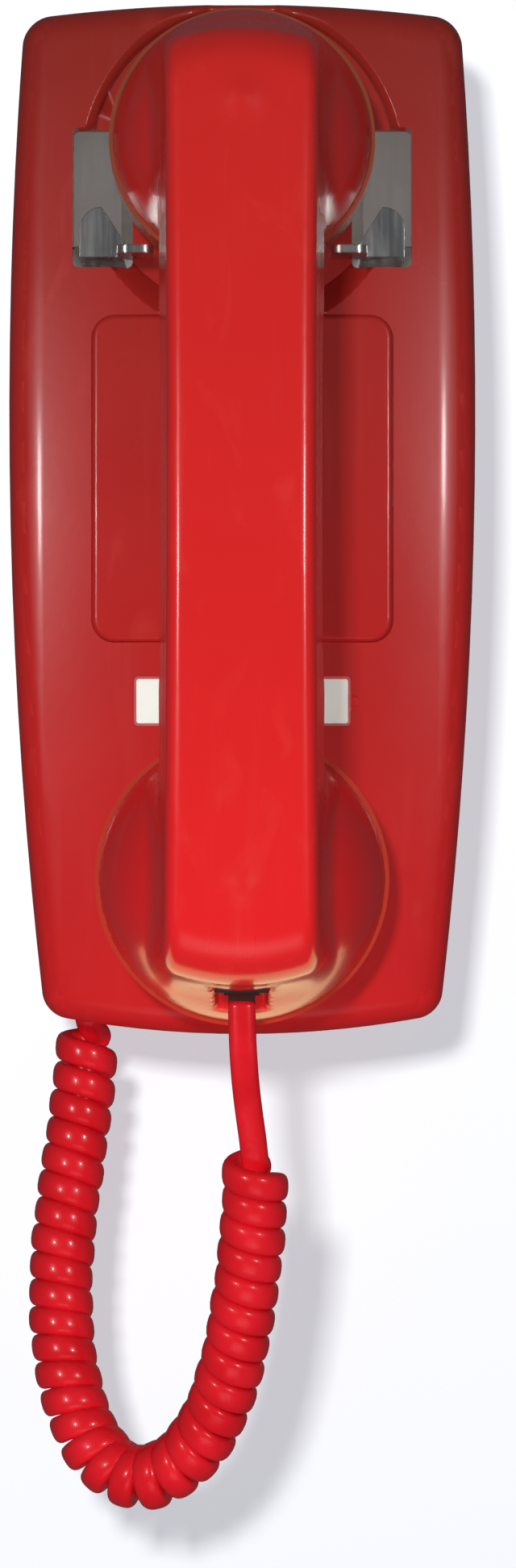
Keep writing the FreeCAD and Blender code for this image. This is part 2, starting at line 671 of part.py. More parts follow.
# ---- handset -----------------------------------------------------------------------
def hang(shape):
    """Places a shape built in the handset's own frame."""
    shape.rotate(V(0, 0, 0), V(1, 0, 0), -HANG_TILT)
    shape.translate(V(0, HANDSET_Y, HANDSET_Z))
    return shape


def at_cap(shape, end):
    """Places a shape built about a cap's face centre; end is +1 ear, -1 mouth."""
    shape.rotate(V(0, 0, 0), V(1, 0, 0), -end * CAP_TILT)
    shape.translate(V(0, 0, end * CAP_SPAN / 2))
    return shape


def disc(r, depth0, depth1):
    """A cylinder between two depths behind the cap's face."""
    return cyl(r, (0, -depth1, 0), (0, 1, 0), depth1 - depth0)


def cup(radius):
    """The handle's end behind a cap: threaded collar, then a flare into the handle."""
    rim = radius - 0.8
    neck = 17.0
    deep = 38.0
    profile = Part.Wire([
        line((0, -CAP_DEPTH, 0), (rim, -CAP_DEPTH, 0)),
        arc((rim, -CAP_DEPTH, 0), ((rim + neck) / 2 + 2.6, -24, 0), (neck, -deep, 0)),
        line((neck, -deep, 0), (0, -deep, 0)),
        line((0, -deep, 0), (0, -CAP_DEPTH, 0)),
    ])
    flare = Part.Face(profile).revolve(V(0, 0, 0), V(0, 1, 0), 360)
    return flare.fuse(disc(radius - 2.7, 4.5, CAP_DEPTH + 1))


def cup_cavity(radius):
    return disc(radius - 5.0, 4.0, 19.0).fuse(disc(12.0, 18.0, 44.0))


def bow_y(z):
    """The handle's outer face at a height."""
    return HANDLE_BACK + HANDLE_BOW_R - math.sqrt(HANDLE_BOW_R ** 2 - z ** 2)


def handle_bar():
    """The bowed grip: a side outline extruded across, with drafted sides and rounded edges."""
    x = -HANDLE_W / 2
    inner = HANDLE_BACK + HANDLE_T
    near = -CAP_DEPTH - 0.4
    ends = (HANDLE_BOTTOM, HANDLE_TOP)
    outline = [arc((x, bow_y(ends[0]), ends[0]), (x, HANDLE_BACK, 0), (x, bow_y(ends[1]), ends[1])),
               arc((x, inner, THROAT_Z), (x, inner - 1.0, 0), (x, inner, -THROAT_Z))]
    for end, side in zip(ends, (-1, 1)):
        outline += [line((x, bow_y(end), end), (x, near, end)),
                    line((x, near, end), (x, near, side * BLOCK_Z)),
                    line((x, near, side * BLOCK_Z), (x, inner, side * THROAT_Z))]
    bar = Part.Face(Part.Wire(Part.sortEdges(outline)[0])).extrude(V(HANDLE_W, 0, 0))

    def across(y, z):
        """The edges that run across the handle at this place in its side view."""
        return [e for e in bar.Edges if e.BoundBox.XLength > HANDLE_W - 0.1
                and abs(e.BoundBox.Center.y - y) < 0.1 and abs(e.BoundBox.Center.z - z) < 0.1]

    for end in ends:
        bar = bar.makeFillet(11.0, across(bow_y(end), end))
    for side in (-1, 1):
        bar = bar.makeFillet(24.0, across(inner, side * THROAT_Z))
    for side in (-1, 1):
        wedge = box(0, 20, -60, 0, -120, 120)
        wedge.rotate(V(0, 0, 0), V(0, 0, 1), -HANDLE_DRAFT)
        wedge.translate(V(HANDLE_W / 2, inner, 0))
        bar = bar.cut(wedge if side > 0 else mirrored_x(wedge))
    long_edges = [e for e in bar.Edges if e.BoundBox.ZLength > 150
                  and e.BoundBox.YMin < HANDLE_BACK + 1]
    bar = bar.makeFillet(3.0, long_edges)
    # both ends are rounded in plan
    plan_r = 45.0
    ends_round = [cyl(plan_r, (0, -80, HANDLE_TOP - plan_r), (0, 1, 0), 90),
                  cyl(plan_r, (0, -80, HANDLE_BOTTOM + plan_r), (0, 1, 0), 90)]
    middle = box(-30, 30, -80, 10, HANDLE_BOTTOM + plan_r, HANDLE_TOP - plan_r)
    return bar.common(fuse([middle] + ends_round))


def handset_handle():
    body = fuse([handle_bar(), at_cap(cup(EAR_R), 1), at_cap(cup(MOUTH_R), -1)])
    body = body.cut(at_cap(cup_cavity(EAR_R), 1))
    body = body.cut(at_cap(cup_cavity(MOUTH_R), -1))
    body = body.cut(box(-11, 11, -49, -40, -72, 72))
    jack_room = box(-5.7, 5.7, HANDSET_JACK_Y - 5.6, HANDSET_JACK_Y + 5.6, -112,
                    HANDSET_JACK_FACE + 12.5)
    body = body.cut(jack_room)
    return hang(body)


def cap(radius, rings, hole_r, end):
    """Screw-on cap with a dished, pierced face."""
    shell = disc(radius, 0, CAP_DEPTH)
    shell = shell.makeFillet(3.2, [e for e in shell.Edges if e.BoundBox.YMin > -0.01])
    shell = shell.cut(disc(radius - 2.6, 2.6, CAP_DEPTH + 1))
    dish_r = 90.0
    shell = shell.cut(Part.makeSphere(dish_r, V(0, dish_r - 1.5, 0)))
    for n in range(rings + 1):
        count = max(1, 6 * n)
        for k in range(count):
            a = 2 * math.pi * k / count
            r = n * 3.9
            shell = shell.cut(cyl(hole_r, (r * math.cos(a), -6, r * math.sin(a)), (0, 1, 0), 8))
    return hang(at_cap(shell, end))


def receiver_unit():
    unit = fuse([disc(23.4, 2.8, 9.0), disc(19.0, 9.0, 15.0), disc(7.0, 15.0, 17.5)])
    return hang(at_cap(unit, 1))


def transmitter_unit():
    unit = fuse([disc(26.0, 2.8, 8.0), disc(21.0, 8.0, 14.0)])
    return hang(at_cap(unit, -1))


def transmitter_contact_cup():
    ring = disc(26.0, 14.2, 17.0).cut(disc(8.0, 14.0, 18.0))
    return hang(at_cap(ring, -1))


def handset_jack():
    jack = jack_block(11.2, 11.0, 12.4, HANDSET_JACK_FACE)
    jack.translate(V(0, HANDSET_JACK_Y, 0))
    return hang(jack)


def handset_wires():
    return hang(cyl(1.5, (0, -44, -71.5), (0, 0, 1), 143))


# ---- cord --------------------------------------------------------------------------
def tube(points, r, name):
    """Straight runs joined by tangent arcs as large as the runs allow."""
    pts = [V(*p) for p in points]
    edges = []
    start = pts[0]
    radii = []
    for before, corner, after in zip(pts, pts[1:], pts[2:]):
        d0 = (corner - before).normalize()
        d1 = (after - corner).normalize()
        turn = d0.getAngle(d1)
        shorter = min((corner - before).Length, (after - corner).Length)
        radius = 0.45 * shorter / math.tan(turn / 2)
        radii.append(radius)
        cut = 0.45 * shorter
        a = corner - d0 * cut
        b = corner + d1 * cut
        toward = (d1 - d0).normalize()
        sagitta_point = corner + toward * (radius / math.cos(turn / 2) - radius)
        edges.append(Part.LineSegment(start, a).toShape())
        edges.append(Part.Arc(a, sagitta_point, b).toShape())
        start = b
    edges.append(Part.LineSegment(start, pts[-1]).toShape())
    path = Part.Wire(edges)
    first = (pts[1] - pts[0]).normalize()
    ring = Part.Wire(Part.makeCircle(r, pts[0], first))
    solid = path.makePipeShell([ring], True, False)
    expected = math.pi * r * r * path.Length
    print(f"{name}: length {path.Length:.1f}, volume / (section x length) "
          f"{solid.Volume / expected:.4f}, radii " + " ".join(f"{x:.0f}" for x in radii))
    return solid


def main():
    os.makedirs("parts", exist_ok=True)
    save("housing_shell", housing_shell())
    save("blank_dial_plate", blank_dial_plate())
    window, card = designation_parts()
    save("designation_window", window)
    save("designation_card", card)
    save("base_plate", base_plate())
    save("housing_screw", housing_screw())
    save("wall_plug_bracket", wall_plug_bracket())
    save("bracket_rivets", bracket_rivets())
    save("wall_plug", wall_plug())
    save("wall_plug_contacts", wall_plug_contacts())

    save("hook_fork", hook_fork())
    save("hookswitch_frame", hookswitch_frame())
    save("hook_pivot_pin", hook_pivot_pin())
    save("hook_return_spring", hook_return_spring())
    save("switch_plunger", switch_plunger())
    save("contact_springs", contact_springs())
    save("contact_insulators", contact_insulators())

    save("circuit_board", circuit_board())
    save("board_posts", board_posts())
    save("board_screws", board_screws())
    save("capacitors", capacitors())
    save("induction_core", induction_core())
    save("induction_winding", induction_winding())

    save("ringer_frame", ringer_frame())
    save("ringer_core", ringer_core())
    save("ringer_coil", ringer_coil())
    save("gong_left", gong(-1))
    save("gong_right", gong(1))
    save("gong_screws", gong_screws())
    save("clapper_arm", clapper_arm())
    save("clapper_ball", clapper_ball())
    save("volume_wheel", volume_wheel())
    save("volume_bracket", volume_bracket())
    save("volume_pin", volume_pin())
    save("jack_wires", tube(JACK_WIRES, WIRE_R, "jack wires"))
    save("ringer_wires", tube(RINGER_WIRES, WIRE_R, "ringer wires"))

    save("handset_handle", handset_handle())
    save("receiver_cap", cap(EAR_R, 2, 1.0, 1))
    save("transmitter_cap", cap(MOUTH_R, 3, 0.9, -1))
    save("receiver_unit", receiver_unit())
    save("transmitter_unit", transmitter_unit())
    save("transmitter_contact_cup", transmitter_contact_cup())
    save("handset_jack", handset_jack())
    save("handset_wires", handset_wires())

    save("base_cord_jack", base_jack())
    base_plug = plug(BASE_JACK_FACE, 2.8, 10.0)
    base_plug.translate(V(BASE_JACK_X, BASE_JACK_Y, 0))
    save("cord_plug_base", base_plug)
    handset_plug = plug(HANDSET_JACK_FACE, 0.6, 9.4)
    handset_plug.translate(V(0, HANDSET_JACK_Y, 0))
    save("cord_plug_handset", hang(handset_plug))
    save("cord_lead_handset", tube(LEAD_HANDSET, LEAD_D / 2, "handset lead"))
    save("handset_cord_coil", tube(COIL, COIL_D / 2, "coil"))
    save("cord_lead_base", cyl(LEAD_D / 2, LEAD_BASE[1], (0, 0, -1),
                               LEAD_BASE[1][2] - LEAD_BASE[0][2]))


main()
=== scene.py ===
import json
import math

import bmesh
import bpy
import numpy as np
from mathutils import Matrix, Vector


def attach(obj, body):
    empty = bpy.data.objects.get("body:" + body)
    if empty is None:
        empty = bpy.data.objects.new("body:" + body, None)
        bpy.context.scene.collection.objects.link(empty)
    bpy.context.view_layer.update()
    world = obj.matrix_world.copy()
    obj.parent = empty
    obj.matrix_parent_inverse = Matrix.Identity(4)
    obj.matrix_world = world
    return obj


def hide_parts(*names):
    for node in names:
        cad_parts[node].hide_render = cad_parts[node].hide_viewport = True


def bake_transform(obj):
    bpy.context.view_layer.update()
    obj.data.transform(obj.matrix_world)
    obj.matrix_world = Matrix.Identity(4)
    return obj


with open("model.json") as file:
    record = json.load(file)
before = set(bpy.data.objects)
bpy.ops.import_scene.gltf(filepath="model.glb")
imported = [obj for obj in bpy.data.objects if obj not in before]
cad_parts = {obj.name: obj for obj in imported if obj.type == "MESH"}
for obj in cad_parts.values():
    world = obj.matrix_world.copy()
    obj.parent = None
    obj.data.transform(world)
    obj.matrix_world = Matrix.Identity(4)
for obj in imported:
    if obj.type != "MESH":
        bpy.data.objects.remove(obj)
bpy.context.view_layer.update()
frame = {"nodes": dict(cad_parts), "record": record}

MM = 0.001

# ---- the handset's frame, as it hangs: its origin in the row frame, and its lean -------------
HANDSET_TILT = math.radians(1.89)                      # the handset's top leans to the wall
HANDSET_ORIGIN = Vector((0.0, -42.65 * MM, 0.95 * MM))

# ---- cord: its route from the base jack to the handset's jack, in millimetres ----------------
ROUTE = [(-34.9, -20.0, -111.4), (-34.9, -20.0, -114.6), (-35.9, -21.2, -128.2),
         (-37.6, -23.0, -141.0), (-39.6, -25.2, -154.0), (-40.9, -27.6, -167.8),
         (-40.6, -30.6, -181.8), (-38.0, -34.4, -195.8), (-32.6, -39.0, -207.8),
         (-23.4, -44.0, -213.4), (-13.4, -49.0, -208.6), (-6.4, -54.0, -198.4),
         (-2.0, -58.6, -185.5), (0.6, -62.2, -171.5), (2.3, -65.0, -157.0),
         (3.0, -67.0, -143.4), (2.6, -68.0, -137.0), (1.7, -69.0, -130.8),
         (0.9, -69.8, -124.4), (0.4, -70.3, -118.2), (0.1, -70.4, -112.0),
         (0.0, -70.2, -105.65)]
COIL_START = 5.4 * MM       # where along the route the first full turn begins
COIL_END = 36.5 * MM        # how far before the handset plug the last turn ends
LEAD_JOIN = 3.5 * MM        # the plain lead begins this far past the last turn
HELIX_R = 5.3 * MM
STRAND_WIDE = 6.0 * MM
STRAND_THIN = 3.8 * MM
OVAL_POWER = 0.78           # below 1, the strand's oval section is squarer than an ellipse
PITCH = 5.9 * MM
PITCH_LOOSE = 7.0 * MM      # the first turns under the base have been pulled apart
LOOSE_FADE = 14 * MM
TURN_STEPS = 36
RING = 20

# ---- handset shell, in millimetres in the handset's frame ---------------------------------
CAP_SPAN = 160.8                    # between the centres of the two caps' faces
CAP_TILT = math.radians(3.0)
CAP_DEPTH = 12.0
CAP_GAP = 0.4
EAR_R = 29.2
MOUTH_R = 32.1
HANDLE_W = 35.3
HANDLE_BACK = -55.0
HANDLE_INNER = -35.0                # depth at which the grip has its full width
HANDLE_BOW_R = 900.0
HANDLE_TOP = 100.4
HANDLE_BOTTOM = -104.0
HANDLE_END_R = 11.0
DRAFT = math.radians(6.5)
PLAN_R = 45.0
GRIP_Y = -36.0                      # the grip's inner face, bowed by 1 mm at the throats
THROAT_Z = 53.0
THROAT_R = 24.0
BLOCK_Z = 64.0                      # where the sloping inner face of each end starts
BLOCK_SLOPE = (0.4377, 0.899)
EDGE_SOFT = 3.0
HOLLOW_HALF = 11.0
HOLLOW_Y = (-49.0, -40.0)
HOLLOW_Z = 72.0
HOLLOW_SOFT = 1.0
RIM_STEP = 0.8                      # the flare starts this far inside the cap's edge
FLARE_BULGE = 2.6
FLARE_MID_DEPTH = 24
FLARE_END = (17, 38)                # radius and depth at which the flare meets the grip
FLARE_SOFT = 0.5
FLARE_FILLET = 4.0
NECK_STEP = 2.7                     # the neck that each cap screws on
NECK_DEPTHS = (4.5, 14)
CUP_WALL = 5.0
CUP_DEPTHS = (4.0, 19.0)
BORE_R = 12.0                       # the wires' way from the cup into the grip
BORE_DEPTHS = (18.0, 44.0)
JACK_Y = -24.0
POCKET_HALF = (5.7, 5.6)
POCKET_TOP = -93.1
RIM_SOFT = 0.4
VOXEL = 1.0 * MM
SNAP_STEPS = 14
SLIDE_STEPS = (2, 4, 6, 8, 10)      # snaps after which the corners also even out
SNAP_LIMIT = 1.5

# ---- housing's outer skin, in millimetres in the row frame ----------------------------------
HALF_WIDTH = 51.9
SIDE_Z = 25.0                       # height at which the housing is widest
SIDE_R = 1190.0
TOP_Z = 114.5
TOP_R = 460.0
TOP_CORNER_R = 7.2
BOTTOM_Z = -114.7
BOTTOM_R = 230.0
BOTTOM_CORNER_R = 6.6
FRONT_Y = -46.0
CROWN_R = 260.0
FACE_R = 1166.0
EDGE_R = 5.6
SKIN_REACH = 0.4                    # corners nearer the skin than this lie on it
SKIN_MATCH = 0.94                   # cosine of the largest turn from a face to the skin
SHARP_ANGLE = math.radians(24)

# ---- camera and studio, in metres ---------------------------------------------------------
LENS = 101.5                        # millimetres, on a sensor 36 mm high
CAMERA_PLACE = (0.0035, -1.02, -0.059)
MIDDLE = (0, -0.04, -0.03)          # where the lights in front aim
WALL_Y = 0.0112
FLOOR_Z = -1.3
SWEEP_R = 0.35
SWEEP_HALF = 3.0
SWEEP_TOP = 2.6
SWEEP_FRONT = -4.0


# ---- node helpers ---------------------------------------------------------------------
def add(tree, kind, settings=None, **inputs):
    """Adds a node; inputs are constants or other nodes' sockets, named with _ for spaces."""
    node = tree.nodes.new(kind)
    for key, value in (settings or {}).items():
        setattr(node, key, value)
    for key, value in inputs.items():
        sockets = [s for s in node.inputs if s.name.replace(" ", "_") == key and s.enabled]
        if isinstance(value, bpy.types.NodeSocket):
            tree.links.new(value, sockets[0])
        else:
            sockets[0].default_value = value
    return node


def math_node(tree, operation, a, b=0.0):
    node = tree.nodes.new("ShaderNodeMath")
    node.operation = operation
    for socket, value in zip(node.inputs, (a, b)):
        if isinstance(value, bpy.types.NodeSocket):
            tree.links.new(value, socket)
        else:
            socket.default_value = value
    return node.outputs[0]


def place(tree, stretch=(1, 1, 1)):
    """Object coordinates, which are the row frame's metres, stretched."""
    coords = tree.nodes.new("ShaderNodeTexCoord").outputs["Object"]
    return add(tree, "ShaderNodeMapping", Vector=coords, Scale=stretch).outputs[0]


def noise(tree, scale, detail=3.0, stretch=(1, 1, 1), distortion=0.0):
    return add(tree, "ShaderNodeTexNoise", Vector=place(tree, stretch), Scale=scale,
               Detail=detail, Distortion=distortion).outputs["Fac"]


def ramp(tree, value, stops):
    node = tree.nodes.new("ShaderNodeValToRGB")
    tree.links.new(value, node.inputs[0])
    elements = node.color_ramp.elements
    while len(elements) < len(stops):
        elements.new(0.5)
    for element, (position, colour) in zip(elements, stops):
        element.position = position
        element.color = (*colour, 1.0)
    return node.outputs[0]


def spread(tree, value, low, high, start=0.3, end=0.7):
    return add(tree, "ShaderNodeMapRange", Value=value, From_Min=start, From_Max=end,
               To_Min=low, To_Max=high).outputs[0]


def mix(tree, factor, a, b):
    node = tree.nodes.new("ShaderNodeMix")
    node.data_type = "RGBA"
    for socket, value in ((node.inputs[0], factor), (node.inputs[6], a), (node.inputs[7], b)):
        if isinstance(value, bpy.types.NodeSocket):
            tree.links.new(value, socket)
        else:
            socket.default_value = value if isinstance(value, float) else (*value, 1.0)
    return node.outputs[2]


def bump(tree, layers, edge=0.0004):
    """Edges rounded by a radius, or none, then bumps: (height socket, strength, distance)."""
    if edge:
        normal = add(tree, "ShaderNodeBevel", {"samples": 4}, Radius=edge).outputs[0]
    else:
        normal = tree.nodes.new("ShaderNodeNewGeometry").outputs["Normal"]
    for height, strength, distance in layers:
        normal = add(tree, "ShaderNodeBump", Height=height, Strength=strength,
                     Distance=distance, Normal=normal).outputs[0]
    return normal


def start(name):
    """A new material's node tree and its shader."""
    material = bpy.data.materials.new(name)
    material.use_nodes = True
    return material.node_tree, material.node_tree.nodes["Principled BSDF"]


def wired(name, tree, shader, colour, roughness, normal, **constants):
    """Wires a material's three sockets, sets its constants, and hands it back."""
    tree.links.new(colour, shader.inputs["Base Color"])
    tree.links.new(roughness, shader.inputs["Roughness"])
    tree.links.new(normal, shader.inputs["Normal"])
    for key, value in constants.items():
        shader.inputs[key.replace("_", " ")].default_value = value
    return bpy.data.materials[name]


def edges_of(tree):
    """1 on convex edges, 0 on flats: where a part gets rubbed."""
    point = tree.nodes.new("ShaderNodeNewGeometry").outputs["Pointiness"]
    return spread(tree, point, 0.0, 1.0, start=0.51, end=0.56)


# ---- materials --------------------------------------------------------------------------
def moulded_plastic(name, bottom_colour, top_shade_and_mottle, gloss, worn=(0.85, 0.12, 0.08)):
    """Glossy moulded plastic, darker and browner towards the top as painted shade and a painted
    brownish reflection: mottling, orange peel, scratches, scuffs.
    """
    tree, shader = start(name)
    cloud = noise(tree, scale=22.0, detail=4.0)
    height = add(tree, "ShaderNodeSeparateXYZ", Vector=place(tree)).outputs["Z"]
    # painted shade: the colour darkens and browns with height, from the lower colour to the top
    # colour, standing in for less light and a brownish reflection at the top
    painted_top_shade = spread(tree, height, 0.0, 1.0, start=-0.115, end=0.115)
    tint = mix(tree, painted_top_shade, bottom_colour, top_shade_and_mottle)
    # random mottling towards the same dark colour: the plastic's own uneven tone
    tint = mix(tree, spread(tree, cloud, 0.12, 0.0, start=0.3, end=0.65), tint, top_shade_and_mottle)
    scratch = noise(tree, scale=260.0, detail=2.0, stretch=(1.0, 1.0, 0.06))
    rub = noise(tree, scale=75.0, detail=6.0, stretch=(1.0, 1.0, 0.4), distortion=1.5)
    tint = mix(tree, spread(tree, rub, 0.0, 0.10, start=0.60, end=0.75), tint, worn)
    rough = math_node(tree, "ADD", spread(tree, cloud, *gloss),
                      spread(tree, scratch, 0.0, 0.08, start=0.58, end=0.72))
    peel = noise(tree, scale=420.0, detail=2.0)
    normal = bump(tree, [(peel, 0.05, 0.0002), (scratch, 0.02, 0.0001)], edge=0)
    return wired(name, tree, shader, tint, rough, normal, Coat_Weight=0.3,
                 Coat_Roughness=0.12, IOR=1.49)


def matt_plastic(name, colour, shade, rough=(0.45, 0.6)):
    """Matt moulded plastic with a fine grain."""
    tree, shader = start(name)
    cloud = noise(tree, scale=60.0, detail=4.0)
    tint = ramp(tree, cloud, [(0.3, shade), (0.7, colour)])
    grain = noise(tree, scale=2600.0, detail=2.0)
    normal = bump(tree, [(grain, 0.18, 0.0001)])
    return wired(name, tree, shader, tint, spread(tree, cloud, *rough), normal)


def plated_metal(name, colour, tarnish, rough, grain=(1, 1, 0.05)):
    """Plated sheet metal: rolled grain, soft tarnish clouds and rubbed edges."""
    tree, shader = start(name)
    cloud = noise(tree, scale=70.0, detail=5.0, distortion=0.6)
    line = noise(tree, scale=900.0, detail=3.0, stretch=grain)
    tint = ramp(tree, cloud, [(0.35, tarnish), (0.75, colour)])
    tint = mix(tree, math_node(tree, "MULTIPLY", edges_of(tree), 0.4), tint, (0.9, 0.9, 0.88))
    roughness = math_node(tree, "ADD", spread(tree, cloud, rough[1], rough[0]),
                          spread(tree, line, 0.0, 0.12))
    normal = bump(tree, [(line, 0.10, 0.00008), (cloud, 0.12, 0.0003)])
    return wired(name, tree, shader, tint, roughness, normal, Metallic=1.0)


def banded(name, colour, gap, scale, direction, metallic, rough):
    """Wound wire, laminations or layered board: fine parallel bands."""
    tree, shader = start(name)
    wave = add(tree, "ShaderNodeTexWave", {"bands_direction": direction}, Vector=place(tree),
               Scale=scale, Distortion=0.4, Detail=1.0).outputs["Fac"]
    tint = ramp(tree, wave, [(0.1, gap), (0.6, colour)])
    normal = bump(tree, [(wave, 0.6, 0.0003)])
    return wired(name, tree, shader, tint, spread(tree, wave, rough[1], rough[0]), normal,
                 Metallic=metallic)


def card_paper():
    """Faintly green card with paper fibres and soft stains."""
    tree, shader = start("card_paper")
    fibre = noise(tree, scale=1500.0, detail=5.0, stretch=(1, 1, 3))
    stain = noise(tree, scale=45.0, detail=3.0)
    tint = ramp(tree, stain, [(0.3, (0.86, 0.88, 0.78)), (0.7, (0.90, 0.97, 0.90))])
    tint = mix(tree, spread(tree, fibre, 0.0, 0.12), tint, (0.70, 0.72, 0.64))
    normal = bump(tree, [(fibre, 0.2, 0.0001)])
    return wired("card_paper", tree, shader, tint, spread(tree, fibre, 0.7, 0.85), normal)


def clear_plastic(name, colour, alpha):
    """Clear moulded plastic that keeps a clean gloss over what is behind it."""
    tree, shader = start(name)
    cloud = noise(tree, scale=120.0, detail=3.0)
    tint = ramp(tree, cloud, [(0.3, tuple(0.9 * c for c in colour)), (0.7, colour)])
    ripple = noise(tree, scale=500.0, detail=2.0)
    normal = bump(tree, [(ripple, 0.04, 0.0002)])
    return wired(name, tree, shader, tint, spread(tree, cloud, 0.05, 0.12), normal,
                 Alpha=alpha, IOR=1.5, Coat_Weight=0.5)


def cord_vinyl():
    """Smooth flexible vinyl with a wet gloss, lightly rubbed in patches."""
    tree, shader = start("cord_vinyl")
    cloud = noise(tree, scale=90.0, detail=3.0)
    tint = ramp(tree, cloud, [(0.3, (0.60, 0.006, 0.012)), (0.7, (0.74, 0.010, 0.020))])
    rub = noise(tree, scale=700.0, detail=3.0)
    rough = math_node(tree, "ADD", spread(tree, cloud, 0.20, 0.28), spread(tree, rub, 0.0, 0.06))
    normal = bump(tree, [(rub, 0.05, 0.0002)], edge=0)
    return wired("cord_vinyl", tree, shader, tint, rough, normal, Coat_Weight=0.4,
                 Coat_Roughness=0.08, IOR=1.5)


def circuit_laminate():
    """Green lacquered board with a woven base and copper tracks under the lacquer."""
    tree, shader = start("circuit_laminate")
    weave = add(tree, "ShaderNodeTexBrick", Vector=place(tree), Scale=900.0,
                Mortar_Size=0.02).outputs["Fac"]
    track = noise(tree, scale=120.0, detail=0.0)
    tint = ramp(tree, track, [(0.46, (0.02, 0.12, 0.05)), (0.5, (0.05, 0.24, 0.10))])
    normal = bump(tree, [(weave, 0.1, 0.0001), (track, 0.15, 0.0002)])
    return wired("circuit_laminate", tree, shader, tint, spread(tree, track, 0.3, 0.45), normal)


MATERIALS = {
    # each red's top colour below is painted shade with a painted brownish reflection, not ageing
    "housing_red": moulded_plastic("case_red", bottom_colour=(0.60, 0.012, 0.014),
                                   top_shade_and_mottle=(0.27, 0.020, 0.014), gloss=(0.24, 0.34),
                                   worn=(0.75, 0.10, 0.07)),
    "handset_red": moulded_plastic("handset_gloss_red", bottom_colour=(0.80, 0.013, 0.016),
                                   top_shade_and_mottle=(0.56, 0.020, 0.016), gloss=(0.20, 0.30)),
    # the caps: a darker, browner copy of the handset's red, painted shade standing in for the dark
    # gap round each cap
    "cap_red": moulded_plastic("cap_gloss_red", bottom_colour=(0.50, 0.030, 0.016),
                               top_shade_and_mottle=(0.20, 0.055, 0.028), gloss=(0.20, 0.30)),
    "card_white": card_paper(),
    "clear_plastic": clear_plastic("clear_moulding", colour=(0.93, 0.95, 0.94), alpha=0.06),
    # the plugs: the clear moulding tinted near black, painted shade standing in for the shade inside
    # their jacks
    "smoky_plastic": clear_plastic("smoky_plug", colour=(0.03, 0.016, 0.016), alpha=0.7),
    "zinc_steel": plated_metal("zinc_sheet", colour=(0.42, 0.39, 0.34),
                               tarnish=(0.24, 0.21, 0.18), rough=(0.36, 0.5)),
    "nickel_steel": plated_metal("nickel_plate", colour=(0.82, 0.84, 0.82),
                                 tarnish=(0.55, 0.57, 0.54), rough=(0.16, 0.32)),
    "brass": plated_metal("spring_brass", colour=(0.80, 0.60, 0.26),
                          tarnish=(0.48, 0.33, 0.13), rough=(0.25, 0.4)),
    "black_plastic": matt_plastic("black_moulding", colour=(0.03, 0.03, 0.033),
                                  shade=(0.015, 0.015, 0.017)),
    "phenolic": banded("phenolic_sheet", colour=(0.20, 0.09, 0.035), gap=(0.10, 0.045, 0.02),
                       scale=700.0, direction="Y", metallic=0.0, rough=(0.4, 0.6)),
    "board_green": circuit_laminate(),
    "copper": banded("enamelled_wire", colour=(0.62, 0.27, 0.11), gap=(0.12, 0.03, 0.01),
                     scale=420.0, direction="Y", metallic=0.9, rough=(0.25, 0.5)),
    "can_blue": matt_plastic("can_sleeve", colour=(0.05, 0.09, 0.26),
                             shade=(0.035, 0.06, 0.18), rough=(0.3, 0.42)),
    "cord_red": cord_vinyl(),
    "wire_grey": matt_plastic("wire_vinyl", colour=(0.32, 0.32, 0.31),
                              shade=(0.24, 0.24, 0.23), rough=(0.4, 0.55)),
    "steel": plated_metal("plain_steel", colour=(0.66, 0.66, 0.65), tarnish=(0.40, 0.39, 0.37),
                          rough=(0.28, 0.42), grain=(0.05, 1, 1)),
    "iron": banded("core_laminations", colour=(0.20, 0.20, 0.20), gap=(0.06, 0.06, 0.06),
                   scale=520.0, direction="X", metallic=0.8, rough=(0.4, 0.6)),
}


def dress_cad_nodes():
    """Every CAD node gets the procedural material of its slot, but for four special looks: the two
    plugs and the two caps are darkened as painted shade.
    """
    special = {"cord_plug_base": "smoky_plastic", "cord_plug_handset": "smoky_plastic",
               "receiver_cap": "cap_red", "transmitter_cap": "cap_red"}
    for part in frame["record"]["subparts"]:
        node = frame["nodes"][part["node"]]
        node.data.materials.clear()
        look = special.get(part["node"], part["material_slot"])
        node.data.materials.append(MATERIALS[look])


# ---- mesh helpers --------------------------------------------------------------------------
def new_piece(name, verts, faces, slot):
    data = bpy.data.meshes.new(name)
    data.from_pydata([tuple(v) for v in verts], [], faces)
    data.materials.append(MATERIALS[slot])
    data.shade_smooth()
    piece = bpy.data.objects.new(name, data)
    bpy.context.scene.collection.objects.link(piece)
    return piece


# ---- cord -------------------------------------------------------------------------------------

def route_points(points):
    """The route's NURBS spline, as Blender draws it."""
    curve = bpy.data.curves.new("cord_route", "CURVE")
    curve.dimensions = "3D"
    curve.resolution_u = 24
    spline = curve.splines.new("NURBS")
    spline.points.add(len(points) - 1)
    for point, co in zip(spline.points, points):
        point.co = (co[0] * MM, co[1] * MM, co[2] * MM, 1.0)
    spline.order_u = 3
    spline.use_endpoint_u = True
    holder = bpy.data.objects.new("cord_route", curve)
    line = bpy.data.meshes.new_from_object(holder)
    found = np.array([v.co[:] for v in line.vertices])
    bpy.data.objects.remove(holder)
    bpy.data.meshes.remove(line)
    return found


def carried_frames(line, first_side):
    """Tangents and a side direction carried along the line without twist."""
    tangents = np.gradient(line, axis=0)
    tangents /= np.linalg.norm(tangents, axis=1)[:, None]
    sides = [np.array(first_side, float)]
    for tangent in tangents:
        side = sides[-1] - tangent * np.dot(sides[-1], tangent)
        sides.append(side / np.linalg.norm(side))
    return tangents, np.array(sides[1:])


def bezier(p0, p1, p2, p3, count):
    """Points of the cubic curve from p0 to p3 with the handles p1 and p2."""
    t = np.linspace(0, 1, count)[:, None]
    return ((1 - t) ** 3 * p0 + 3 * t * (1 - t) ** 2 * p1 + 3 * t * t * (1 - t) * p2
            + t ** 3 * p3)


def unit(v):
    return v / np.linalg.norm(v, axis=-1, keepdims=True)


